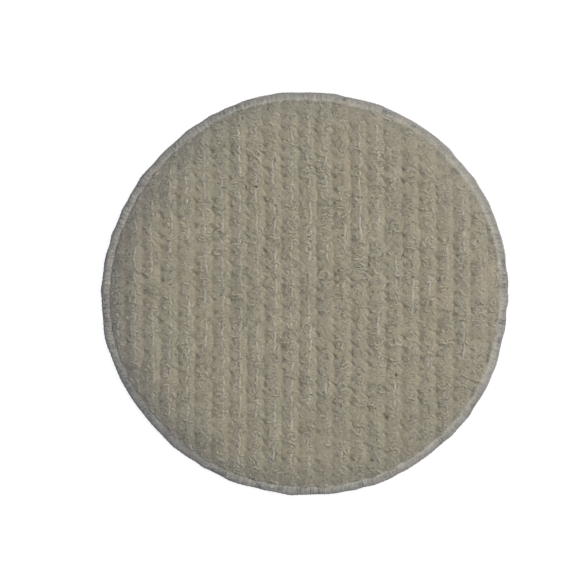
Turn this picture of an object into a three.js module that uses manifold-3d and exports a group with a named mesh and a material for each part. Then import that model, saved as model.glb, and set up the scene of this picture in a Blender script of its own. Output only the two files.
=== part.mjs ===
// Carpet bonnet pad: a round reversible pad of two looped pile cloths with an overlocked edge.
// Millimetres, +Z up. The origin is the middle of the underside, and the rows of loops run along Y.

import * as THREE from 'three';
import { mergeVertices } from 'three/addons/utils/BufferGeometryUtils.js';
import Module from 'manifold-3d';

const wasm = await Module();
wasm.setup();

// Outline of the sewn pad, to the outside of the edge yarn
const PAD_RADIUS = 152.4;
const OUTLINE_STEPS = 64;
// Slow waves that cutting and sewing leave in the outline, each with a high point at peakDegrees
const OUTLINE_WAVES = [
  { perTurn: 2, height: 0.7, peakDegrees: 9.5 },
  { perTurn: 3, height: 0.6, peakDegrees: -52 },
  { perTurn: 4, height: 0.4, peakDegrees: 23 },
  { perTurn: 5, height: 0.4, peakDegrees: -35 },
  { perTurn: 8, height: 0.3, peakDegrees: 16 },
];

// One pile cloth, measured up from the underside of its woven base
const BASE_CLOTH = 1.2;
const PILE_HEIGHT = 7.8;
// Heights over the base cloth where two rows touch, and in the pit between one loop and the next
const VALLEY_FLOOR = 4.6;
const PIT_FLOOR = 1.8;
// The pile gets shorter over the last stretch before the edge yarn
const RIM_PILE = 3;
const RIM_SLOPE = 20;

// Rows of loops
const ROW_PITCH = 12.9;
const LOOP_PITCH = 7.75;
const CREST_WIDTH = 3.4;
const CREST_LEAN = 1;
const LOOP_BULGE = 2;
// How far the loops of one row start after those of the row on its left
const LOOP_STAGGER = 2.9;
// The middle rows have drifted towards +X, and the ends of each row bend towards -X
const ROW_DRIFT = 1.6;
const ROW_BOW = 2;

// Overlocked edge: how far it reaches in over the cloths, and its yarn's thickness outside and over them
const EDGE_WIDTH = 7.4;
const EDGE_OUTER_YARN = 1.7;
const EDGE_COVER_YARN = 1.6;
const EDGE_LIP_YARN = 1.2;

// Room between pieces that are sewn together
const SEWING_GAP = 0.3;

const CLOTH_THICKNESS = BASE_CLOTH + PILE_HEIGHT;
const PAD_THICKNESS = 2 * CLOTH_THICKNESS + SEWING_GAP;
const MIDDLE_HEIGHT = PAD_THICKNESS / 2;
const BASE_INSET = EDGE_OUTER_YARN + SEWING_GAP;
const PILE_INSET = EDGE_WIDTH + SEWING_GAP;
const ROWS_EACH_SIDE = Math.ceil((PAD_RADIUS + ROW_DRIFT + ROW_BOW) / ROW_PITCH);
const ROW_END = PAD_RADIUS + LOOP_PITCH;

// A row drawn as a plain ridge has a point every RIM_STEP where the pile gets shorter, and few between
const RIM_STEP = 12;
const RIM_STEPS_APART = 6;

const pileMaterial = new THREE.MeshStandardMaterial({ color: 0x9a9483, roughness: 0.95, metalness: 0 });
const backMaterial = pileMaterial.clone();
const edgeMaterial = new THREE.MeshStandardMaterial({ color: 0xaaa596, roughness: 0.9, metalness: 0 });

function outlineRadius(angle) {
  let radius = PAD_RADIUS;
  for (const wave of OUTLINE_WAVES) {
    const peak = THREE.MathUtils.degToRad(wave.peakDegrees);
    radius += wave.height * Math.cos(wave.perTurn * (angle - peak));
  }
  return radius;
}

// The same outline for a cloth that will be turned over about Y
function turnedOutlineRadius(angle) {
  return outlineRadius(Math.PI - angle);
}

function solid(geometry) {
  geometry.deleteAttribute('normal');
  geometry.deleteAttribute('uv');
  const merged = mergeVertices(geometry);
  const vertProperties = new Float32Array(merged.attributes.position.array);
  const triVerts = new Uint32Array(merged.index.array);
  return new wasm.Manifold(new wasm.Mesh({ numProp: 3, vertProperties, triVerts }));
}

function geometryOf(manifold) {
  const mesh = manifold.getMesh();
  const geometry = new THREE.BufferGeometry();
  geometry.setAttribute('position', new THREE.BufferAttribute(mesh.vertProperties, mesh.numProp));
  geometry.setIndex(new THREE.BufferAttribute(mesh.triVerts, 1));
  geometry.computeVertexNormals();
  return geometry;
}

// A flat disc of an outline, drawn in by inset all the way round
function outlineDisc(outline, inset, thickness) {
  const points = [];
  for (let step = 0; step < OUTLINE_STEPS; step += 1) {
    const angle = (2 * Math.PI * step) / OUTLINE_STEPS;
    const radius = outline(angle) - inset;
    points.push(new THREE.Vector2(radius * Math.cos(angle), radius * Math.sin(angle)));
  }
  return solid(new THREE.ExtrudeGeometry(new THREE.Shape(points), { depth: thickness, bevelEnabled: false }));
}

function distanceInsidePile(outline, x, y) {
  return outline(Math.atan2(y, x)) - PILE_INSET - Math.hypot(x, y);
}

function pileHeightAt(outline, x, y) {
  const share = THREE.MathUtils.clamp(distanceInsidePile(outline, x, y) / RIM_SLOPE, 0, 1);
  return RIM_PILE + (PILE_HEIGHT - RIM_PILE) * Math.sin((share * Math.PI) / 2);
}

// A point of the pile's surface. height is over the base cloth where the pile is full
function surfacePoint(outline, across, along, height) {
  const drift = ROW_DRIFT * (1 - (across / PAD_RADIUS) ** 2);
  const bow = ROW_BOW * (along / PAD_RADIUS) ** 2;
  const x = across + drift - bow;
  const z = BASE_CLOTH + (pileHeightAt(outline, x, along) * height) / PILE_HEIGHT;
  return new THREE.Vector3(x, along, z);
}

// Places along a row, every pitch from start, with one at each end of the row
function stationsAlongRow(start, pitch) {
  const stations = [{ along: -ROW_END, count: 0 }];
  const first = Math.ceil((-ROW_END - start) / pitch + 0.5);
  const last = Math.floor((ROW_END - start) / pitch - 0.5);
  for (let count = first; count <= last; count += 1) {
    stations.push({ along: start + count * pitch, count });
  }
  stations.push({ along: ROW_END, count: 0 });
  return stations;
}

// The three lines of points that make one row of separate loops: its left valley, and both sides of its crest
function loopedRow(outline, centre, row) {
  const halfLoops = stationsAlongRow(row * LOOP_STAGGER, LOOP_PITCH / 2);
  const loops = stationsAlongRow(row * LOOP_STAGGER, LOOP_PITCH);
  const onLoop = (station) => station.count % 2 === 0;
  const crest = centre + CREST_LEAN;
  const valley = halfLoops.map((station) => {
    const height = onLoop(station) ? VALLEY_FLOOR : PIT_FLOOR;
    return surfacePoint(outline, centre - ROW_PITCH / 2, station.along, height);
  });
  const crestLeft = halfLoops.map((station) => {
    const bulge = onLoop(station) ? LOOP_BULGE : 0;
    return surfacePoint(outline, crest - CREST_WIDTH / 2 - bulge, station.along, PILE_HEIGHT);
  });
  const crestRight = loops.map((station) => {
    return surfacePoint(outline, crest + CREST_WIDTH / 2, station.along, PILE_HEIGHT);
  });
  return [valley, crestLeft, crestRight];
}

// The same three lines for a row drawn as a plain ridge, with points only where the ridge bends
function plainRow(outline, centre) {
  const height = (VALLEY_FLOOR + PIT_FLOOR) / 2;
  const crest = centre + CREST_LEAN;
  const line = (across, level) => {
    const stations = stationsAlongRow(0, RIM_STEP).filter((station) => {
      const nearRim = distanceInsidePile(outline, across, station.along) < RIM_SLOPE + RIM_STEP / 2;
      return nearRim || station.count % RIM_STEPS_APART === 0;
    });
    return stations.map((station) => surfacePoint(outline, across, station.along, level));
  };
  return [
    line(centre - ROW_PITCH / 2, height),
    line(crest - (CREST_WIDTH + LOOP_BULGE) / 2, PILE_HEIGHT),
    line(crest + CREST_WIDTH / 2, PILE_HEIGHT),
  ];
}

// Triangles between two neighbouring lines, walking up both lines together
function stripBetween(left, right) {
  const triangles = [];
  let l = 0;
  let r = 0;
  while (l < left.length - 1 || r < right.length - 1) {
    const rightDone = r === right.length - 1;
    const leftDone = l === left.length - 1;
    if (rightDone || (!leftDone && left[l + 1].y <= right[r + 1].y)) {
      triangles.push(left[l], right[r], left[l + 1]);
      l += 1;
    } else {
      triangles.push(left[l], right[r], right[r + 1]);
      r += 1;
    }
  }
  return triangles;
}

// A closed block under all the lines, down to floor
function blockUnder(lines, floor) {
  const down = (point) => new THREE.Vector3(point.x, point.y, floor);
  const points = [];
  for (let index = 0; index < lines.length - 1; index += 1) {
    const left = lines[index];
    const right = lines[index + 1];
    const [leftStart, leftEnd, rightStart, rightEnd] = [left[0], left.at(-1), right[0], right.at(-1)];
    points.push(...stripBetween(left, right));
    points.push(down(leftStart), down(leftEnd), down(rightStart));
    points.push(down(rightStart), down(leftEnd), down(rightEnd));
    points.push(down(leftStart), down(rightStart), leftStart, down(rightStart), rightStart, leftStart);
    points.push(down(leftEnd), leftEnd, down(rightEnd), down(rightEnd), leftEnd, rightEnd);
  }
  const [first, last] = [lines[0], lines.at(-1)];
  points.push(down(first[0]), first[0], down(first[1]), down(first[1]), first[0], first[1]);
  points.push(down(last[0]), down(last[1]), last[0], down(last[1]), last[1], last[0]);
  return solid(new THREE.BufferGeometry().setFromPoints(points));
}

// A woven base with the rows standing on it, its underside at Z = 0
function pileCloth(rowLines, outline) {
  const outermost = (ROWS_EACH_SIDE + 0.5) * ROW_PITCH;
  const blockEnd = (across) => {
    return [-ROW_END, ROW_END].map((along) => surfacePoint(outline, across, along, PIT_FLOOR));
  };
  const lines = [blockEnd(-outermost)];
  for (let row = -ROWS_EACH_SIDE; row <= ROWS_EACH_SIDE; row += 1) {
    const [valley, ...crest] = rowLines(outline, row * ROW_PITCH, row);
    lines.push(...(row === -ROWS_EACH_SIDE ? crest : [valley, ...crest]));
  }
  lines.push(blockEnd(outermost));
  const pileArea = outlineDisc(outline, PILE_INSET, CLOTH_THICKNESS * 2);
  const pile = blockUnder(lines, BASE_CLOTH / 2).intersect(pileArea);
  return geometryOf(outlineDisc(outline, BASE_INSET, BASE_CLOTH).add(pile));
}

// The edge yarn's section, from its outermost point over the top, round the slot for the cloths, and under
function edgeSection() {
  const slot = SEWING_GAP / 2 + BASE_CLOTH + SEWING_GAP;
  const upper = [
    [0, 0],
    [EDGE_OUTER_YARN / 2, slot + EDGE_COVER_YARN / 2],
    [EDGE_WIDTH / 2, slot + EDGE_COVER_YARN],
    [EDGE_WIDTH, slot + EDGE_LIP_YARN],
    [EDGE_WIDTH, slot],
    [EDGE_OUTER_YARN, slot],
  ];
  const lower = upper.slice(1).reverse().map(([inset, height]) => [inset, -height]);
  return [...upper, ...lower, upper[0]].map(([inset, height]) => new THREE.Vector2(PAD_RADIUS - inset, height));
}

// The section turned round the pad, and then moved out or in to follow the outline
function overlockedEdge() {
  const ring = new THREE.LatheGeometry(edgeSection(), OUTLINE_STEPS);
  ring.rotateX(Math.PI / 2);
  const position = ring.attributes.position;
  for (let index = 0; index < position.count; index += 1) {
    const angle = Math.atan2(position.getY(index), position.getX(index));
    const radius = Math.hypot(position.getX(index), position.getY(index));
    const moved = radius + outlineRadius(angle) - PAD_RADIUS;
    position.setXY(index, moved * Math.cos(angle), moved * Math.sin(angle));
  }
  return ring;
}

function named(name, geometry, material) {
  const mesh = new THREE.Mesh(geometry, material);
  mesh.name = name;
  return mesh;
}

const facePileCloth = named('face_pile_cloth', pileCloth(loopedRow, outlineRadius), pileMaterial);
facePileCloth.position.z = MIDDLE_HEIGHT + SEWING_GAP / 2;

// The back cloth is turned over about Y, so that the two bases lie back to back
const backPileCloth = named('back_pile_cloth', pileCloth(plainRow, turnedOutlineRadius), backMaterial);
backPileCloth.rotation.y = Math.PI;
backPileCloth.position.z = MIDDLE_HEIGHT - SEWING_GAP / 2;

const edgeOverlock = named('edge_overlock', overlockedEdge(), edgeMaterial);
edgeOverlock.position.z = MIDDLE_HEIGHT;

const group = new THREE.Group();
group.add(facePileCloth, backPileCloth, edgeOverlock);

export default group;
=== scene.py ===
import math

import bpy
import numpy as np
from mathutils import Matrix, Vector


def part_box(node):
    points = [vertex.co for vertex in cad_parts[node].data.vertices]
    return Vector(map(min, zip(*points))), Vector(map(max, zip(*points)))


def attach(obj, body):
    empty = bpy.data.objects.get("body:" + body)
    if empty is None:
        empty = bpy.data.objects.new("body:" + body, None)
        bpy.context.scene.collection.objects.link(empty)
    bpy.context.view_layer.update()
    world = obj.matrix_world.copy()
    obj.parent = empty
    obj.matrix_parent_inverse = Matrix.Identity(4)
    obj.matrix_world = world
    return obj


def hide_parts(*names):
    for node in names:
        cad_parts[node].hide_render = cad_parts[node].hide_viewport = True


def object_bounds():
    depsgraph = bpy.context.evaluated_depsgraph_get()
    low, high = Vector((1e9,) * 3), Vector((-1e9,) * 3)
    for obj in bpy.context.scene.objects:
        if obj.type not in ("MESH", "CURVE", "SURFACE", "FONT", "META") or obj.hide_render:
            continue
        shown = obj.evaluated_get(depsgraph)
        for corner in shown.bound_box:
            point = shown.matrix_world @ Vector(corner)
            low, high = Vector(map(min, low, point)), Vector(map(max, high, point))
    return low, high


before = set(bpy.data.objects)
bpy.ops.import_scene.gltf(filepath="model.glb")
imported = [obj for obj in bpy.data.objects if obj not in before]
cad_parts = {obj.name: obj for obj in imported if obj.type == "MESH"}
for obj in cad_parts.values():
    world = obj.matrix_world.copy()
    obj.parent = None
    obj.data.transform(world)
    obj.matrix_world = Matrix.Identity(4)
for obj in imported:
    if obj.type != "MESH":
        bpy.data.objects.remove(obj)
cad_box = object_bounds()

# Framing. The pad is seen from straight above, and the photograph puts its middle a little right of and
# below its own. The lens and the height together fit the pad's real width to its width in the picture.
MM = 0.001
PICTURE_PX = 576
PAD_WIDTH_PX = 406.5
PAD_MIDDLE_PX = (306.1, 293.8)
PAD_RADIUS = 152.4 * MM
CAMERA_HEIGHT = 1.15
metres_per_px = 2 * PAD_RADIUS / PAD_WIDTH_PX
camera_data = bpy.data.cameras.new("camera")
camera_data.sensor_width = 36.0
camera_data.lens = camera_data.sensor_width * CAMERA_HEIGHT / (PICTURE_PX * metres_per_px)
camera = bpy.data.objects.new("camera", camera_data)
camera.location = (
    (PICTURE_PX / 2 - PAD_MIDDLE_PX[0]) * metres_per_px,
    (PAD_MIDDLE_PX[1] - PICTURE_PX / 2) * metres_per_px,
    CAMERA_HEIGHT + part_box("edge_overlock")[1][2],
)
bpy.context.collection.objects.link(camera)
bpy.context.scene.camera = camera


# Base cloths. Two discs of plain-woven cotton backing, cut together and laid back to back.
# The yarn of the pile is tufted through them, and only the pits between loops show any of their weave.
OUTLINE_WAVES = ((2, 0.7, 9.5), (3, 0.6, -52), (4, 0.4, 23), (5, 0.4, -35), (8, 0.3, 16))
BASE_CLOTH = 1.2 * MM
BASE_INSET = 2.0 * MM
HALF_SEWING_GAP = 0.15 * MM
PAD_THICKNESS = cad_box[1][2]
MIDDLE = PAD_THICKNESS / 2
WAVE_REPEAT = 0.314  # metres from wave to wave in a wave texture of scale 1


def outline_radius(angle):
    """The pad's outline, which is a little out of round."""
    radius = PAD_RADIUS
    for per_turn, height, peak in OUTLINE_WAVES:
        radius = radius + height * MM * np.cos(per_turn * (angle - math.radians(peak)))
    return radius


def linear(srgb_hex):
    """The linear colour of an sRGB hex value."""
    parts = [int(srgb_hex[k : k + 2], 16) / 255 for k in (1, 3, 5)]
    return [p / 12.92 if p <= 0.04045 else ((p + 0.055) / 1.055) ** 2.4 for p in parts] + [1.0]


def node(tree, kind, links=(), **settings):
    """Adds a node, sets its own settings or inputs, and joins its inputs to other nodes' outputs."""
    made = tree.nodes.new(kind)
    for name, value in settings.items():
        if hasattr(made, name):
            setattr(made, name, value)
        else:
            made.inputs[name.replace("_", " ")].default_value = value
    for name, socket in links:
        tree.links.new(socket, made.inputs[name])
    return made


def mesh_piece(name, points, faces, material, uv=None, tones=None):
    """An object of quads (or triangles) that rides on the pad."""
    mesh = bpy.data.meshes.new(name)
    sides = faces.shape[1]
    mesh.vertices.add(len(points))
    mesh.vertices.foreach_set("co", np.ascontiguousarray(points, dtype=np.float32).ravel())
    mesh.loops.add(faces.size)
    mesh.loops.foreach_set("vertex_index", np.ascontiguousarray(faces, dtype=np.int32).ravel())
    mesh.polygons.add(len(faces))
    mesh.polygons.foreach_set("loop_start", np.arange(0, faces.size, sides, dtype=np.int32))
    mesh.polygons.foreach_set("use_smooth", np.ones(len(faces), dtype=bool))
    if uv is not None:
        layer = mesh.uv_layers.new(name="yarn")
        layer.data.foreach_set("uv", np.ascontiguousarray(uv, dtype=np.float32).ravel())
    for key, values in (tones or {}).items():
        attribute = mesh.attributes.new(key, "FLOAT", "POINT")
        attribute.data.foreach_set("value", np.ascontiguousarray(values, dtype=np.float32))
    mesh.update(calc_edges=True)
    mesh.validate()
    mesh.materials.append(material)
    piece = bpy.data.objects.new(name, mesh)
    bpy.context.collection.objects.link(piece)
    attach(piece, "root")
    return piece


def woven_cotton_backing():
    """Plain-woven cotton, matt. Its threads read as a dull brown-grey where the loops part."""
    material = bpy.data.materials.new("woven cotton backing")
    material.use_nodes = True
    tree = material.node_tree
    shader = tree.nodes["Principled BSDF"]
    thread_spacing = 1.0 * MM
    place = node(tree, "ShaderNodeTexCoord").outputs["Object"]
    thread_scale = WAVE_REPEAT / thread_spacing
    warp = node(tree, "ShaderNodeTexWave", [("Vector", place)], bands_direction="X", Scale=thread_scale,
                Distortion=0.4)
    weft = node(tree, "ShaderNodeTexWave", [("Vector", place)], bands_direction="Y", Scale=thread_scale,
                Distortion=0.4)
    threads = node(tree, "ShaderNodeMath", operation="MULTIPLY")
    tree.links.new(warp.outputs["Fac"], threads.inputs[0])
    tree.links.new(weft.outputs["Fac"], threads.inputs[1])
    colour = node(tree, "ShaderNodeMix", [("Factor", threads.outputs[0])], data_type="RGBA")
    colour.inputs["A"].default_value = linear("#6E6757")
    colour.inputs["B"].default_value = linear("#8E8671")
    tree.links.new(colour.outputs["Result"], shader.inputs["Base Color"])
    bump = node(tree, "ShaderNodeBump", [("Height", threads.outputs[0])], Strength=0.6, Distance=0.3 * MM)
    tree.links.new(bump.outputs["Normal"], shader.inputs["Normal"])
    shader.inputs["Roughness"].default_value = 0.95
    return material


def base_cloth(name, low, high, material):
    """A closed disc of cloth between two heights, cut to the pad's own outline."""
    around = 160
    rings = 24
    inner_ring = 0.02
    angle = np.linspace(0, 2 * np.pi, around, endpoint=False)
    reach = outline_radius(angle) - BASE_INSET
    share = np.linspace(inner_ring, 1.0, rings)
    x = share[:, None] * reach * np.cos(angle)
    y = share[:, None] * reach * np.sin(angle)
    layers = []
    for height in (high, low):
        layers.append(np.stack([x, y, np.full_like(x, height)], -1).reshape(-1, 3))
    points = np.concatenate(layers + [[[0, 0, high], [0, 0, low]]])
    ring, step = np.meshgrid(np.arange(rings - 1), np.arange(around), indexing="ij")
    a = (ring * around + step).ravel()
    b = (ring * around + (step + 1) % around).ravel()
    c, d = b + around, a + around
    under = rings * around
    top = np.stack([a, d, c, b], -1)
    bottom = np.stack([a, b, c, d], -1) + under
    rim_a = (rings - 1) * around + np.arange(around)
    rim_b = (rings - 1) * around + (np.arange(around) + 1) % around
    rim = np.stack([rim_a, rim_a + under, rim_b + under, rim_b], -1)
    quads = np.concatenate([top, bottom, rim])
    first = np.arange(around)
    second = (first + 1) % around
    hub_top = np.stack([np.full(around, 2 * under), first, second], -1)
    hub_bottom = np.stack([np.full(around, 2 * under + 1), second + under, first + under], -1)
    triangles = np.concatenate([quads[:, [0, 1, 2]], quads[:, [0, 2, 3]], hub_top, hub_bottom])
    return mesh_piece(name, points, triangles, material)


backing = woven_cotton_backing()
face_underside = MIDDLE + HALF_SEWING_GAP
back_underside = MIDDLE - HALF_SEWING_GAP
face_base = base_cloth("face_base_cloth", face_underside, face_underside + BASE_CLOTH, backing)
back_base = base_cloth("back_base_cloth", back_underside - BASE_CLOTH, back_underside, backing)
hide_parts("face_pile_cloth")
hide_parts("back_pile_cloth")


# Bodies of the loops. Soft cotton yarn is tufted in rows half an inch apart, and its loops swell until they
# touch. This is the mass of yarn under the visible plies: rows with a low valley between them, and in the
# valleys the small slanting pits that are left where two loops meet.
ROW_PITCH = 12.9 * MM
ROW_DRIFT = 1.6 * MM
ROW_BOW = 2.0 * MM
LOOP_PITCH = 7.75 * MM
PILE_HEIGHT = 7.8 * MM
VALLEY_FLOOR = 6.6 * MM
PIT_FLOOR = 3.0 * MM
PIT_HALF_LENGTH = 1.3 * MM
PIT_SLANT = 0.8
CREST_RUN = 4.8 * MM
CREST_FULLNESS = 0.7
LOOP_BULGE = 1.6 * MM
EDGE_WIDTH = 7.4 * MM
PILE_INSET = EDGE_WIDTH + 0.3 * MM
RIM_PILE = 3.0 * MM
RIM_SLOPE = 20.0 * MM
ROWS_EACH_SIDE = math.ceil((PAD_RADIUS + ROW_DRIFT + ROW_BOW) / ROW_PITCH)
STEP_ALONG = 0.3 * MM
ROW_END = PAD_RADIUS + 12 * MM
LOOPS_IN_ROW = 60
ROW_SWAY = 0.8 * MM
UNEVENNESS = 0.5 * MM


def inside_pile(x, y):
    """How far a point lies inside the pile's rim."""
    return outline_radius(np.arctan2(y, x)) - PILE_INSET - np.hypot(x, y)


def pile_height(x, y):
    """How high the crests stand, lower towards the rim, where the edge yarn holds the pile down."""
    share = np.clip(inside_pile(x, y) / RIM_SLOPE, 0, 1)
    return RIM_PILE + (PILE_HEIGHT - RIM_PILE) * np.sin(share * np.pi / 2)


def row_middle(across, y):
    """Where a row's middle line runs at y: the middle rows have drifted, and all rows bow a little."""
    return across + ROW_DRIFT * (1 - (across / PAD_RADIUS) ** 2) - ROW_BOW * (y / PAD_RADIUS) ** 2


def slow_noise(rng, count, spacing):
    """Random values at every spacing-th step, with straight runs between them."""
    knots = rng.normal(0, 1, int(count / spacing) + 3)
    return np.interp(np.arange(count) / spacing, np.arange(len(knots)), knots)


def loop_rows(seed):
    """For each row and step along it: the left-hand pit, the valley, the height and the left side's sway."""
    rng = np.random.default_rng(seed)
    along = np.arange(-ROW_END, ROW_END, STEP_ALONG)
    rows = {"pit": [], "valley": [], "height": [], "sway": []}
    for _ in range(2 * ROWS_EACH_SIDE + 2):
        meets = np.cumsum(LOOP_PITCH * rng.uniform(0.65, 1.4, LOOPS_IN_ROW)) - ROW_END - 2 * LOOP_PITCH
        after = np.searchsorted(meets, along)
        share = (along - meets[after - 1]) / (meets[after] - meets[after - 1])
        swell = np.sin(np.pi * share)
        nearest = np.where(share < 0.5, after - 1, after)
        near_meet = np.exp(-((along - meets[nearest]) / PIT_HALF_LENGTH) ** 2)
        rows["pit"].append(rng.uniform(0, 1, LOOPS_IN_ROW + 1)[nearest] * near_meet)
        rows["valley"].append(VALLEY_FLOOR + UNEVENNESS * slow_noise(rng, len(along), 9))
        crest = rng.normal(0, 0.02, LOOPS_IN_ROW + 1)[after] * swell
        rows["height"].append(1 + crest + 0.015 * slow_noise(rng, len(along), 12))
        bulge = swell * LOOP_BULGE * rng.uniform(0.3, 1.4, LOOPS_IN_ROW + 1)[after]
        rows["sway"].append(ROW_SWAY + UNEVENNESS * slow_noise(rng, len(along), 16) - bulge)
    return {key: np.array(tables) for key, tables in rows.items()}


def along_row(table, row, y):
    """Reads a table of loop_rows at the rows and places given."""
    step = np.clip((y + ROW_END) / STEP_ALONG, 0, table.shape[1] - 1.001)
    first = step.astype(int)
    share = step - first
    row = np.clip(row + ROWS_EACH_SIDE, 0, table.shape[0] - 1)
    return table[row, first] * (1 - share) + table[row, first + 1] * share


def left_side(rows, row, y):
    """Where the valley on a row's left runs, across the rows."""
    return (row - 0.5) * ROW_PITCH + along_row(rows["sway"], row, y)


def loop_tops(rows, x, y):
    """Height of the loops' bodies over the base cloth."""
    across = x
    for _ in range(3):
        across = x - ROW_DRIFT * (1 - (across / PAD_RADIUS) ** 2) + ROW_BOW * (y / PAD_RADIUS) ** 2
    row = np.round(across / ROW_PITCH).astype(int)
    row = row - (across < left_side(rows, row, y)) + (across > left_side(rows, row + 1, y))
    from_left = across - left_side(rows, row, y)
    from_right = left_side(rows, row + 1, y) - across
    crest = PILE_HEIGHT * along_row(rows["height"], row, y)
    pit_left = along_row(rows["pit"], row, y + PIT_SLANT * from_left)
    pit_right = along_row(rows["pit"], row + 1, y - PIT_SLANT * from_right)
    left = along_row(rows["valley"], row, y) - (VALLEY_FLOOR - PIT_FLOOR) * pit_left
    right = along_row(rows["valley"], row + 1, y) - (VALLEY_FLOOR - PIT_FLOOR) * pit_right
    climb = np.sin(np.clip(from_left / CREST_RUN, 0, 1) * np.pi / 2) ** CREST_FULLNESS
    fall = np.sin(np.clip(from_right / CREST_RUN, 0, 1) * np.pi / 2) ** CREST_FULLNESS
    height = np.minimum(left + (crest - left) * climb, right + (crest - right) * fall)
    return height * pile_height(x, y) / PILE_HEIGHT


def yarn_grain(x, y):
    """Random bumps of curled yarn, one to each square of GRAIN_PITCH, with straight slopes between them."""
    bumps = np.random.default_rng(5).normal(0, 1, (GRAIN_BUMPS, GRAIN_BUMPS))
    across = x / GRAIN_PITCH + GRAIN_BUMPS / 2
    along = y / GRAIN_PITCH + GRAIN_BUMPS / 2
    i, j = across.astype(int), along.astype(int)
    u, v = across - i, along - j
    near = bumps[i, j] * (1 - u) + bumps[i + 1, j] * u
    far = bumps[i, j + 1] * (1 - u) + bumps[i + 1, j + 1] * u
    return near * (1 - v) + far * v


def loop_bodies(name, rows, around, rings, turned_over, material):
    """A closed disc whose top is the loops' bodies, standing on the base cloth."""
    angle = np.linspace(0, 2 * np.pi, around, endpoint=False)
    reach = outline_radius(angle) - PILE_INSET + BODY_LAP
    share = np.append(np.linspace(0, 1, rings + 1)[1:], 1.0)
    x = share[:, None] * reach * np.cos(angle)
    y = share[:, None] * reach * np.sin(angle)
    z = loop_tops(rows, x, y) - BODY_DEPTH + BODY_GRAIN * yarn_grain(x, y)
    z[-1] = 0.0
    points = np.concatenate([np.stack([x, y, z], -1).reshape(-1, 3), [[0, 0, z[0].mean()], [0, 0, 0]]])
    ring, step = np.meshgrid(np.arange(rings), np.arange(around), indexing="ij")
    a = (ring * around + step).ravel()
    b = (ring * around + (step + 1) % around).ravel()
    near_half = np.stack([a, a + around, b + around], -1)
    far_half = np.stack([a, b + around, b], -1)
    walls = np.concatenate([near_half, far_half])
    first = np.arange(around)
    second = (first + 1) % around
    hub = len(points) - 2
    under = len(points) - 1
    top = np.stack([np.full(around, hub), first, second], -1)
    bottom = np.stack([np.full(around, under), second + rings * around, first + rings * around], -1)
    faces = np.concatenate([walls, top, bottom])
    tones = {"ply_tone": np.full(len(points), 0.5), "depth": yarn_depth(points), "painted_rim_shade": rim_shade_share(points)}
    uv = points[:, :2][faces.ravel()] / MM
    return mesh_piece(name, on_pad(points, turned_over), faces, material, uv, tones)


def rim_shade_share(points):
    """How much painted shade the yarn takes near the rim, most in the pile beside the left half of the edge.
    """
    off = np.angle(np.exp(1j * (np.arctan2(points[:, 1], points[:, 0]) - math.radians(SHADED_SIDE))))
    side = np.exp(-((off / math.radians(72)) ** 2))
    from_rim = np.clip(inside_pile(points[:, 0], points[:, 1]), 0, None)
    return (0.14 + 0.42 * side) * np.exp(-from_rim / RIM_SHADE_FADES)


def yarn_depth(points):
    """How far up the pile a point lies, from 0 at the base cloth to 1 at the crests; the lower it lies, the
    more painted shade it takes.
    """
    depth = np.clip(points[:, 2] / pile_height(points[:, 0], points[:, 1]), 0, 1)
    return np.maximum(depth, 1 - inside_pile(points[:, 0], points[:, 1]) / (2 * MM)).clip(0, 1)


def on_pad(points, turned_over):
    """Puts yarn, measured up from a base cloth, on the upper cloth or turned over on the lower one."""
    cloth_top = HALF_SEWING_GAP + BASE_CLOTH
    if turned_over:
        points = points * (-1, 1, -1)
        return np.stack([points[:, 0], points[:, 1], np.maximum(points[:, 2] + MIDDLE - cloth_top, 0)], -1)
    return points + (0, 0, MIDDLE + cloth_top)


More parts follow.
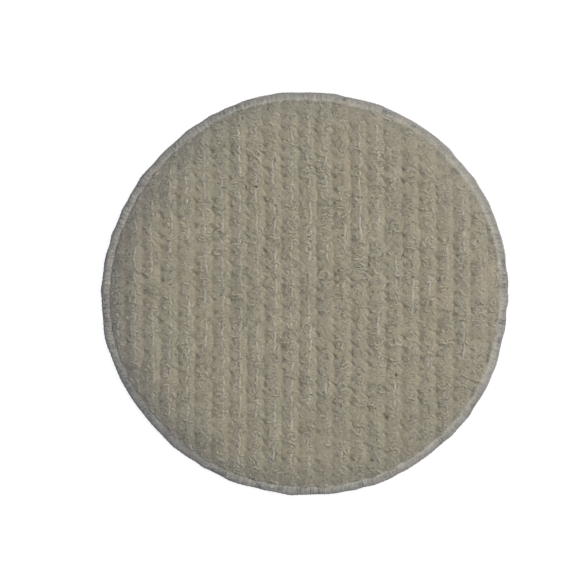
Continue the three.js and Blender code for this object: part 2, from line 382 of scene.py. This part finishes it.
def looped_cotton_yarn(name, tones, painted_shade_tone):
    """Undyed spun cotton, matt and softly fuzzy: grey-beige, pinker or greener in patches, darkened towards
    a painted shade tone by its depth attribute and towards a grey painted rim shade by its rim attribute.
    """
    material = bpy.data.materials.new(name)
    material.use_nodes = True
    tree = material.node_tree
    shader = tree.nodes["Principled BSDF"]
    place = node(tree, "ShaderNodeTexCoord").outputs["Object"]
    rowwise = node(tree, "ShaderNodeMapping", [("Vector", place)])
    rowwise.inputs["Scale"].default_value = (1.0, 0.3, 1.0)
    patch_width = 18 * MM
    patch = node(tree, "ShaderNodeTexNoise", [("Vector", rowwise.outputs["Vector"])], Scale=1 / patch_width,
                 Detail=2.0)
    spread = node(tree, "ShaderNodeMapRange", [("Value", patch.outputs["Fac"])])
    spread.inputs["From Min"].default_value = 0.36
    spread.inputs["From Max"].default_value = 0.64
    base = node(tree, "ShaderNodeMix", [("Factor", spread.outputs["Result"])], data_type="RGBA")
    base.inputs["A"].default_value = linear(tones[0])
    base.inputs["B"].default_value = linear(tones[1])
    ply = node(tree, "ShaderNodeAttribute", attribute_name="ply_tone")
    plied = node(tree, "ShaderNodeMix", [("Factor", ply.outputs["Fac"]), ("A", base.outputs["Result"])],
                 data_type="RGBA")
    plied.inputs["B"].default_value = linear(tones[2])
    share = node(tree, "ShaderNodeMath", operation="MULTIPLY")
    tree.links.new(ply.outputs["Fac"], share.inputs[0])
    share.inputs[1].default_value = 0.5
    tree.links.new(share.outputs[0], plied.inputs["Factor"])
    # Painted shade: the colour goes towards the shade tone where the depth attribute is low, which is low in
    # the pile, and on the edge yarn at its outer turn.
    depth = node(tree, "ShaderNodeAttribute", attribute_name="depth")
    pit = node(tree, "ShaderNodeMix", [("Factor", depth.outputs["Fac"]), ("B", plied.outputs["Result"])],
               data_type="RGBA")
    pit.inputs["A"].default_value = linear(painted_shade_tone)
    # Painted shade near the rim: the colour goes towards a grey tone by the rim attribute, most on the pad's
    # left.
    painted_rim_shade = node(tree, "ShaderNodeAttribute", attribute_name="painted_rim_shade")
    rim_shaded = node(tree, "ShaderNodeMix", [("Factor", painted_rim_shade.outputs["Fac"]), ("A", pit.outputs["Result"])],
                  data_type="RGBA")
    rim_shaded.inputs["B"].default_value = linear(RIM_SHADE_TONE)
    grain_width = 2.1 * MM
    blotch_width = 12 * MM
    grain = node(tree, "ShaderNodeTexNoise", [("Vector", place)], Scale=1 / grain_width, Detail=1.0)
    blotch = node(tree, "ShaderNodeTexNoise", [("Vector", place)], Scale=1 / blotch_width, Detail=2.0)
    mottle = node(tree, "ShaderNodeMath", operation="ADD")
    tree.links.new(grain.outputs["Fac"], mottle.inputs[0])
    tree.links.new(blotch.outputs["Fac"], mottle.inputs[1])
    shade = node(tree, "ShaderNodeMapRange", [("Value", mottle.outputs[0])])
    shade.inputs["From Min"].default_value = 0.6
    shade.inputs["From Max"].default_value = 1.4
    shade.inputs["To Min"].default_value = 0.84
    shade.inputs["To Max"].default_value = 1.16
    grained = node(tree, "ShaderNodeVectorMath", operation="SCALE")
    tree.links.new(rim_shaded.outputs["Result"], grained.inputs[0])
    tree.links.new(shade.outputs["Result"], grained.inputs["Scale"])
    tree.links.new(grained.outputs["Vector"], shader.inputs["Base Color"])
    yarn = node(tree, "ShaderNodeUVMap", uv_map="yarn").outputs["UV"]
    twist = node(tree, "ShaderNodeMapping", [("Vector", yarn)])
    twist.inputs["Scale"].default_value = (0.5, 1.0, 1.0)
    lay = node(tree, "ShaderNodeTexWave", [("Vector", twist.outputs["Vector"])], bands_direction="DIAGONAL",
               Scale=2.2, Distortion=1.5, Detail=2.0)
    both = node(tree, "ShaderNodeMath", operation="MULTIPLY_ADD")
    tree.links.new(lay.outputs["Fac"], both.inputs[0])
    both.inputs[1].default_value = 0.25
    tree.links.new(grain.outputs["Fac"], both.inputs[2])
    bump = node(tree, "ShaderNodeBump", [("Height", both.outputs[0])], Strength=1.0, Distance=1.1 * MM)
    tree.links.new(bump.outputs["Normal"], shader.inputs["Normal"])
    shader.inputs["Roughness"].default_value = 0.95
    shader.inputs["Specular IOR Level"].default_value = 0.2
    shader.inputs["Sheen Weight"].default_value = 0.15
    shader.inputs["Sheen Roughness"].default_value = 0.6
    shader.inputs["Subsurface Weight"].default_value = 0.85
    shader.inputs["Subsurface Radius"].default_value = (1.0, 0.9, 0.8)
    shader.inputs["Subsurface Scale"].default_value = 2.6 * MM
    return material


BODY_DEPTH = 0.5 * MM
BODY_LAP = 0.8 * MM
BODY_GRAIN = 0.17 * MM
GRAIN_PITCH = 1.7 * MM
GRAIN_BUMPS = 200
# Painted shade near the rim: the pile yarn goes greyer and darker towards the rim all round, most on the
# left half, the side away from the window light.
SHADED_SIDE = 178
RIM_SHADE_FADES = 16 * MM
RIM_SHADE_TONE = "#8F8E8E"
# The tone after the three yarn tones is the painted shade for yarn low in the pile.
pile_yarn = looped_cotton_yarn("looped cotton yarn", ("#B1A992", "#ADA892", "#B8AE9B"), "#817965")
face_loops = loop_rows(11)
back_loops = loop_rows(12)
face_body = loop_bodies("face_loop_bodies", face_loops, 560, 100, False, pile_yarn)
back_body = loop_bodies("back_loop_bodies", back_loops, 280, 50, True, pile_yarn)


# Plies of the loops. Each loop of yarn is several loose plies that lie side by side over the row and dive
# into the valleys. They have been washed, so they are curly, and they cross each other on their way.
PLY_RADIUS = 1.05 * MM
PLIES_PER_LOOP = (2, 3, 3, 4, 4, 5, 5)
PLY_CURL = 1.0 * MM
PLY_UNEVEN = 0.18 * MM
PLY_DIVE = 1.3 * MM
CURLED_PLIES = 24
TURNED_LOOPS = 0.06
WHOLE_PLIES = 0.75
FACE_YARN = {"steps": 17, "sides": 4, "pitch": 1.85 * MM}
BACK_YARN = {"steps": 10, "sides": 4, "pitch": 2.4 * MM}
FACE_SEED = 100
BACK_SEED = 300
CURL_SEED = 1000
UNEVEN_SEED = 2000


def tubes(paths, radii, sides, reference):
    """Closed tubes round many centre lines: points, triangles, their UVs, and each point's tube number."""
    count, steps, _ = paths.shape
    tangent = np.gradient(paths, axis=1)
    tangent /= np.linalg.norm(tangent, axis=-1, keepdims=True) + 1e-12
    across = reference - (reference * tangent).sum(-1, keepdims=True) * tangent
    across /= np.linalg.norm(across, axis=-1, keepdims=True) + 1e-12
    up = np.cross(tangent, across)
    angle = np.linspace(0, 2 * np.pi, sides, endpoint=False)
    ring = (
        across[:, :, None] * np.cos(angle)[:, None] * radii[..., None, None]
        + up[:, :, None] * np.sin(angle)[:, None] * radii[..., None, None]
    )
    points = (paths[:, :, None] + ring).reshape(-1, 3)
    tube, step, side = np.meshgrid(np.arange(count), np.arange(steps - 1), np.arange(sides), indexing="ij")
    base = (tube * steps + step) * sides
    a, b = base + side, base + (side + 1) % sides
    walls = np.stack([a, b, b + sides, a, b + sides, a + sides], -1).reshape(-1, 3)
    strides = np.linalg.norm(np.diff(paths, axis=1), axis=-1)
    length = np.concatenate([np.zeros((count, 1)), np.cumsum(strides, 1)], 1)
    u0 = length[tube, step] / MM
    u1 = length[tube, step + 1] / MM
    v0 = side / sides
    v1 = (side + 1) / sides
    corners_uv = ((u0, v0), (u0, v1), (u1, v1), (u0, v0), (u1, v1), (u1, v0))
    uv = np.stack([np.stack(pair, -1) for pair in corners_uv], -2).reshape(-1, 2)
    start = np.arange(count) * steps * sides
    caps = []
    for first, flip in ((start, True), (start + (steps - 1) * sides, False)):
        for k in range(1, sides - 1):
            corners = [first, first + k, first + k + 1]
            caps.append(np.stack(corners[::-1] if flip else corners, -1))
    caps = np.concatenate(caps)
    uv = np.concatenate([uv, np.zeros((caps.size, 2))])
    return points, np.concatenate([walls, caps]), uv, np.repeat(np.arange(count), steps * sides)


def row_plies(seed, ply_pitch):
    """One row's plies: each one's place along the row, and the looks of its loop and of itself."""
    rng = np.random.default_rng(seed)
    plies = []
    place = -PAD_RADIUS - rng.uniform(0, 8) * MM
    while place < PAD_RADIUS:
        count = rng.choice(PLIES_PER_LOOP)
        pitch = ply_pitch * rng.uniform(0.9, 1.1)
        turn = rng.normal(math.radians(-4), math.radians(12))
        loop_tone = rng.uniform(-0.3, 0.3)
        if rng.uniform() < TURNED_LOOPS:
            turn = rng.uniform(-1.0, 1.0)
        for k in range(count):
            plies.append({
                "middle": place + (k + 0.5) * pitch + rng.normal(0, 0.3) * MM,
                "turn": turn + rng.normal(0, math.radians(11)),
                "start": -1.0 if rng.uniform() < WHOLE_PLIES else rng.uniform(-0.7, 0.1),
                "end": 1.0 if rng.uniform() < WHOLE_PLIES else rng.uniform(-0.1, 0.7),
                "width": rng.uniform(0.65, 0.9),
                "shift": rng.normal(0, 0.5) * MM,
                "radius": PLY_RADIUS * rng.uniform(0.75, 1.2),
                "lift": rng.normal(0.0, 0.3) * MM,
                "curl": PLY_CURL * rng.uniform(0.5, 1.4),
                "curls": rng.choice((-1, 1)) * rng.uniform(1.4, 2.8),
                "curl_start": rng.uniform(0, 2 * np.pi),
                "dip_start": rng.uniform(0, 2 * np.pi),
                "lap": rng.uniform(-0.4, 1.4) * MM,
                "ply_tone": np.clip(0.5 + loop_tone + rng.normal(0, 0.25), 0, 1),
            })
        place += count * pitch
    return {key: np.array([ply[key] for ply in plies])[:, None] for key in plies[0]}


def drawn_in(x, y, lap):
    """Draws what would reach past the pile's rim back to its lap over the edge, as the edge yarn does."""
    reach = np.hypot(x, y)
    limit = outline_radius(np.arctan2(y, x)) - PILE_INSET + lap
    scale = np.minimum(reach, limit) / np.maximum(reach, 1e-9)
    return x * scale, y * scale


def over_row(row, plies, loops, steps):
    """Centre lines of a row's plies, plies by steps by 3, with heights measured up from the base cloth."""
    share = np.linspace(0, 1, steps)
    way = plies["start"] + (plies["end"] - plies["start"]) * share
    turned = plies["curls"] * np.pi * way + plies["curl_start"]
    x = way * ROW_PITCH / 2 * plies["width"] + plies["shift"] + plies["curl"] * np.cos(turned)
    y = 1.3 * plies["curl"] * np.sin(turned)
    out_x = x * np.cos(plies["turn"]) - y * np.sin(plies["turn"])
    along = x * np.sin(plies["turn"]) + y * np.cos(plies["turn"]) + plies["middle"]
    out_x = out_x + row_middle(row * ROW_PITCH, along)
    dip = 0.35 * plies["curl"] * np.sin(plies["curls"] * 1.3 * np.pi * way + plies["dip_start"])
    sunk = PLY_DIVE * np.abs(2 * share - 1) ** 6
    out_x, along = drawn_in(out_x, along, plies["lap"] - 0.6 * plies["radius"])
    z = loop_tops(loops, out_x, along) + plies["lift"] + dip - plies["radius"] - sunk
    return np.stack([out_x, along, z], -1)


def curled_plies(row, rng, loops, steps):
    """Plies that have come out of their loops and curl up into a small C."""
    share = np.linspace(-1, 1, steps)
    one_each = (CURLED_PLIES, 1)
    y = rng.uniform(-PAD_RADIUS, PAD_RADIUS, one_each)
    angle = rng.uniform(0, 2 * np.pi, one_each) + share * rng.uniform(1.5, 2.6, one_each)
    size = rng.uniform(1.6, 2.8, one_each) * MM
    x = row_middle(row * ROW_PITCH, y) + rng.normal(0, 3.5, one_each) * MM + size * np.cos(angle)
    y = y + size * 1.3 * np.sin(angle)
    radii = np.repeat(rng.uniform(0.8, 1.1, one_each) * MM, steps, 1)
    inside = inside_pile(x, y).min(1) > -0.5 * MM
    z = loop_tops(loops, x, y) + 0.25 * MM - radii - 1.2 * MM * np.abs(share) ** 6
    return np.stack([x, y, z], -1)[inside], radii[inside], rng.uniform(0.3, 1.0, CURLED_PLIES)[inside]


def pile_row(name, row, seed, loops, yarn, turned_over):
    """The plies of one row of loops, on the upper cloth or turned over on the lower one."""
    steps = yarn["steps"]
    plies = row_plies(seed, yarn["pitch"])
    inside = inside_pile(row_middle(row * ROW_PITCH, plies["middle"]), plies["middle"])[:, 0]
    plies = {key: values[inside > -ROW_PITCH / 2] for key, values in plies.items()}
    if len(plies["middle"]) == 0:
        return None
    paths = over_row(row, plies, loops, steps)
    rng = np.random.default_rng(seed + CURL_SEED)
    curled, curled_radii, curled_tones = curled_plies(row, rng, loops, steps)
    paths = np.concatenate([paths, curled])
    radii = np.concatenate([np.repeat(plies["radius"], steps, 1), curled_radii])
    ply_tones = np.append(plies["ply_tone"][:, 0], curled_tones)
    rng = np.random.default_rng(seed + UNEVEN_SEED)
    paths = paths + rng.normal(0, PLY_UNEVEN, paths.shape)
    radii = radii * rng.uniform(0.75, 1.25, radii.shape)
    points, faces, uv, owner = tubes(paths, radii, yarn["sides"], np.array([0.0, 1.0, 0.0]))
    tones = {"ply_tone": ply_tones[owner], "depth": yarn_depth(points), "painted_rim_shade": rim_shade_share(points)}
    return mesh_piece(name, on_pad(points, turned_over), faces, pile_yarn, uv, tones)


face_rows = [face_body]
back_rows = [back_body]
for row in range(-ROWS_EACH_SIDE, ROWS_EACH_SIDE + 1):
    number = row + ROWS_EACH_SIDE + 1
    upper = pile_row(f"face_row_{number:02d}", row, FACE_SEED + number, face_loops, FACE_YARN, False)
    lower = pile_row(f"back_row_{number:02d}", row, BACK_SEED + number, back_loops, BACK_YARN, True)
    face_rows += [upper] if upper else []
    back_rows += [lower] if lower else []


# Straight yarn of the crests. Where the loops have parted, mostly on the left half, a paler and straighter
# cotton yarn that was tufted in with them shows along the crests. It is half sunk between the plies.
CREST_STEPS = 16
CREST_PIECES = 21
SHOWN_LEFT = 0.8
SHOWN_RIGHT = 0.4


def crest_yarn(name, seed, loops, turned_over):
    """All the lengths of crest yarn on one cloth. Each dives into the pile at both its ends."""
    rng = np.random.default_rng(seed)
    share = np.linspace(-1, 1, CREST_STEPS)
    paths = []
    radii = []
    for row in range(-ROWS_EACH_SIDE, ROWS_EACH_SIDE + 1):
        ends = np.cumsum(rng.uniform(10, 34, CREST_PIECES + 1)) * MM - ROW_END
        shown = rng.uniform(0, 1, CREST_PIECES) < (SHOWN_LEFT if row < 1 else SHOWN_RIGHT)
        for start, end in zip(ends[:-1][shown], ends[1:][shown]):
            y = (start + end) / 2 + share * (end - start) / 2
            x = row_middle(row * ROW_PITCH, y) + rng.normal(1.0, 0.5) * MM
            x = x + 0.5 * MM * np.sin(share * rng.uniform(2, 9) + rng.uniform(0, 6))
            if inside_pile(x, y).min() > 0:
                radius = rng.uniform(0.9, 1.3) * MM * (1 - 0.5 * share ** 4)
                wave = 0.3 * MM * np.sin(share * rng.uniform(8, 16))
                z = loop_tops(loops, x, y) + 0.1 * MM - radius + wave
                paths.append(np.stack([x, y, z - 1.0 * MM * share ** 8], -1))
                radii.append(radius)
    points, faces, uv, owner = tubes(np.array(paths), np.array(radii), 6, np.array([1.0, 0.0, 0.0]))
    tones = {"ply_tone": rng.uniform(0, 1, len(paths))[owner], "depth": yarn_depth(points)}
    tones["painted_rim_shade"] = rim_shade_share(points)
    return mesh_piece(name, on_pad(points, turned_over), faces, pale_yarn, uv, tones)


# Its last tone is the painted shade for yarn low in the pile.
pale_yarn = looped_cotton_yarn("straight pale cotton yarn", ("#BEB7A4", "#B8B6A4", "#C2BAAD"), "#98917F")
crest_yarn("face_crest_yarn", 21, face_loops, False)
crest_yarn("back_crest_yarn", 22, back_loops, True)


# Seed husk. A curved dark bit of dry husk, 2 mm long, is caught in the pile left of the middle and halfway
# up. Its surface is dry and dull, so it reads as a plain dark speck.
HUSK_PLACE = (-37.2 * MM, 79.9 * MM)
HUSK_HALF_LENGTH = 0.9 * MM
HUSK_RADIUS = 0.75 * MM


def husk(place):
    """A dull grey-brown flake, bent to one side and thin at both ends."""
    share = np.linspace(-1, 1, 7)
    x = place[0] + HUSK_HALF_LENGTH * share
    y = place[1] + 0.5 * MM * share ** 2 - 0.3 * MM * share
    z = loop_tops(face_loops, x, y) + 0.1 * MM
    radii = HUSK_RADIUS * (1 - 0.7 * share ** 2) * (1 + 0.15 * np.sin(5 * share))
    path = np.stack([x, y, z], -1)
    points, faces, uv, _ = tubes(path[None], radii[None], 7, np.array([0.0, 1.0, 0.0]))
    material = bpy.data.materials.new("dry seed husk")
    material.use_nodes = True
    shader = material.node_tree.nodes["Principled BSDF"]
    shader.inputs["Base Color"].default_value = linear("#3E3A33")
    shader.inputs["Roughness"].default_value = 0.8
    return mesh_piece("seed_husk", on_pad(points, False), faces, material, uv)


husk(HUSK_PLACE)


# Overlocked edge. A soft paler yarn is sewn over the edges of both cloths by an overlock machine, stitch
# beside stitch all the way round, each one drawn from the upper face round the edge to the lower face.
STITCH_PITCH = 3.5 * MM
STRANDS_PER_STITCH = 3
STRAND_RADIUS = 0.85 * MM
EDGE_HALF_HEIGHT = 3.2 * MM
STITCH_SLANT = 1.0 * MM
STITCH_CROWN = 0.2 * MM
EDGE_STEPS = 12
EDGE_UNEVEN = 0.38 * MM
CORE_INSET = EDGE_WIDTH * 0.55
CORE_HALF_WIDTH = EDGE_WIDTH * 0.47
CORE_HALF_HEIGHT = EDGE_HALF_HEIGHT - 0.9 * MM
CORE_STEPS = 240
# Painted shade on the edge yarn: greyer and darker towards its outer turn all round, more at the outline on
# the left half, away from the window light, and in stretches at the lower left, left, upper left and top.
OUTLINE_UNSHADED = 0.3
OUTER_SHADE_REACH = 6 * MM
SHADED_TURN = 1.3 * MM
SHADED_STRETCHES = ((225, 30, 0.45), (185, 50, 0.1), (132, 22, 0.3), (88, 20, 0.15))
# Its last tone, a blue-grey, is the painted shade of the edge's outer turn.
edge_yarn = looped_cotton_yarn("overlocked soft yarn", ("#D2C9B5", "#CBC6B5", "#D7D0C0"), "#77777F")


def edge_stitches():
    """Strands of the stitches over a soft core of the same yarn, as one piece."""
    rng = np.random.default_rng(7)
    stitches = int(round(2 * math.pi * PAD_RADIUS / STITCH_PITCH))
    strands = stitches * STRANDS_PER_STITCH
    stitch = np.arange(strands) // STRANDS_PER_STITCH
    strand = np.arange(strands) % STRANDS_PER_STITCH
    start = (stitch + rng.normal(0, 0.03, stitches)[stitch] + (strand + 0.5) / STRANDS_PER_STITCH) / stitches
    start = start[:, None] * 2 * np.pi
    knots = rng.normal(0, EDGE_UNEVEN, stitches // 2 + 1)
    unevenness = np.interp(np.arange(strands), np.arange(len(knots)) * 2 * STRANDS_PER_STITCH, knots)
    turn = np.linspace(-1, 1, EDGE_STEPS) * np.pi / 2
    radius = (STRAND_RADIUS * rng.uniform(0.9, 1.1, strands))[:, None]
    wider = rng.normal(0, 0.03, stitches)[stitch] + rng.normal(0, 0.03, strands)
    width = (EDGE_WIDTH * (1 + wider))[:, None]
    outer = STITCH_CROWN * (strand != 1)
    higher = rng.normal(0, 0.04, stitches)[stitch]
    height = (EDGE_HALF_HEIGHT * (1 + higher) - outer)[:, None]
    slant = (STITCH_SLANT + rng.normal(0, 0.2 * MM, stitches)[stitch])[:, None] / PAD_RADIUS * np.sin(turn)
    angle = start + slant
    inset = radius + (outer - STITCH_CROWN - unevenness)[:, None]
    reach = outline_radius(angle) - inset - (width - radius) * (1 - np.cos(turn)) ** 1.2
    rise = np.sin(turn) * (height - radius) * (1 - 0.12 * np.abs(np.sin(turn)) ** 8)
    paths = np.stack([reach * np.cos(angle), reach * np.sin(angle), MIDDLE + rise], -1)
    along = np.stack([-np.sin(start), np.cos(start), 0 * start], -1)
    points, faces, uv, owner = tubes(paths, np.repeat(radius, EDGE_STEPS, 1), 5, along)
    round_pad = np.linspace(0, 2 * np.pi, CORE_STEPS + 1)[None]
    middle = outline_radius(round_pad) - CORE_INSET
    core_path = np.stack([middle * np.cos(round_pad), middle * np.sin(round_pad), MIDDLE + 0 * middle], -1)
    core_radii = np.full(middle.shape, CORE_HALF_WIDTH)
    core, core_faces, core_uv, _ = tubes(core_path, core_radii, 12, np.array([0.0, 0.0, 1.0]))
    core[:, 2] = MIDDLE + (core[:, 2] - MIDDLE) * CORE_HALF_HEIGHT / CORE_HALF_WIDTH
    points = np.concatenate([points, core])
    faces = np.concatenate([faces, core_faces + len(points) - len(core)])
    ply_tone = np.append(rng.uniform(0, 1, strands)[owner], np.full(len(core), 0.5))
    # Painted shade: how much of the strands' own tone stays, less towards the outer turn, on the left half
    # and in the shaded stretches; the rest goes to the blue-grey shade tone.
    angle = np.arctan2(points[:, 1], points[:, 0])
    off = np.angle(np.exp(1j * (angle - math.radians(SHADED_SIDE))))
    inward = outline_radius(angle) - np.hypot(points[:, 0], points[:, 1])
    unshaded = OUTLINE_UNSHADED + (1 - OUTLINE_UNSHADED) * np.clip(inward / OUTER_SHADE_REACH, 0, 1)
    dark_side = np.exp(-((off / math.radians(75)) ** 2))
    unshaded = unshaded * (1 - dark_side * np.exp(-((inward / SHADED_TURN) ** 4)))
    for degrees, half_width, painted_rim_shade in SHADED_STRETCHES:
        off = np.angle(np.exp(1j * (angle - math.radians(degrees))))
        unshaded = unshaded * (1 - painted_rim_shade * np.exp(-((off / math.radians(half_width)) ** 2)))
    tones = {"ply_tone": ply_tone, "depth": unshaded}
    uv = np.concatenate([uv, core_uv])
    return mesh_piece("edge_overlock_yarn", points, faces, edge_yarn, uv, tones)


edge = edge_stitches()
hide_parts("edge_overlock")


# Floor and light. A sweep seen as plain white that keeps the pad's soft shadow and throws little light back,
# a flash beside the camera, a broad window on the right, and a sky that is bright overhead and dark at the
# horizon, as a studio is.
FLOOR_HALF = 6.0
FLOOR_LEVEL = -0.3 * MM
SWEEP_GLOW = 0.9


def white_sweep():
    """Matt white paper, seen as plain white but for the pad's shadow, that throws back little light."""
    material = bpy.data.materials.new("white paper sweep")
    material.use_nodes = True
    tree = material.node_tree
    output = tree.nodes["Material Output"]
    tree.nodes.remove(tree.nodes["Principled BSDF"])
    matt = node(tree, "ShaderNodeBsdfDiffuse")
    matt.inputs["Color"].default_value = linear("#757575")
    path = node(tree, "ShaderNodeLightPath")
    seen = path.outputs["Is Camera Ray"]
    for kind in ("Is Glossy Ray", "Is Transmission Ray"):
        either = node(tree, "ShaderNodeMath", operation="MAXIMUM")
        tree.links.new(seen, either.inputs[0])
        tree.links.new(path.outputs[kind], either.inputs[1])
        seen = either.outputs[0]
    strength = node(tree, "ShaderNodeMath", operation="MULTIPLY")
    tree.links.new(seen, strength.inputs[0])
    strength.inputs[1].default_value = SWEEP_GLOW
    glow = node(tree, "ShaderNodeEmission", [("Strength", strength.outputs[0])])
    both = node(tree, "ShaderNodeAddShader")
    tree.links.new(matt.outputs[0], both.inputs[0])
    tree.links.new(glow.outputs[0], both.inputs[1])
    tree.links.new(both.outputs[0], output.inputs["Surface"])
    return material


floor_mesh = bpy.data.meshes.new("floor")
floor_signs = ((-1, -1), (1, -1), (1, 1), (-1, 1))
floor_corners = [(x * FLOOR_HALF, y * FLOOR_HALF, FLOOR_LEVEL) for x, y in floor_signs]
floor_mesh.from_pydata(floor_corners, [], [(0, 1, 2, 3)])
floor_mesh.materials.append(white_sweep())
floor = bpy.data.objects.new("floor", floor_mesh)
bpy.context.collection.objects.link(floor)


def disc_lamp(name, place, size, power, colour):
    """A round soft lamp that points at the pad."""
    data = bpy.data.lights.new(name, "AREA")
    data.shape = "DISK"
    data.size = size
    data.energy = power
    data.color = linear(colour)[:3]
    lamp = bpy.data.objects.new(name, data)
    lamp.location = place
    bpy.context.collection.objects.link(lamp)
    lamp.rotation_euler = (-lamp.location).to_track_quat("-Z", "Y").to_euler()


disc_lamp("camera_flash", (0.16, 0.1, 1.0), 0.3, 5.6, "#FFFBF4")
disc_lamp("window_light", (1.2, 0.6, 0.85), 0.9, 9.6, "#FFF6E8")

world = bpy.data.worlds.new("studio")
bpy.context.scene.world = world
world.use_nodes = True
sky_tree = world.node_tree
sky = sky_tree.nodes["Background"]
sky.inputs["Color"].default_value = linear("#F1F5FF")
direction = node(sky_tree, "ShaderNodeTexCoord").outputs["Generated"]
height = node(sky_tree, "ShaderNodeSeparateXYZ", [("Vector", direction)]).outputs["Z"]
overhead = node(sky_tree, "ShaderNodeMapRange", [("Value", height)])
SKY_AT_HORIZON = 0.1
SKY_OVERHEAD = 0.68
overhead.inputs["To Min"].default_value = SKY_AT_HORIZON
overhead.inputs["To Max"].default_value = SKY_OVERHEAD
sky_tree.links.new(overhead.outputs["Result"], sky.inputs["Strength"])
bpy.context.scene.view_settings.view_transform = "Standard"
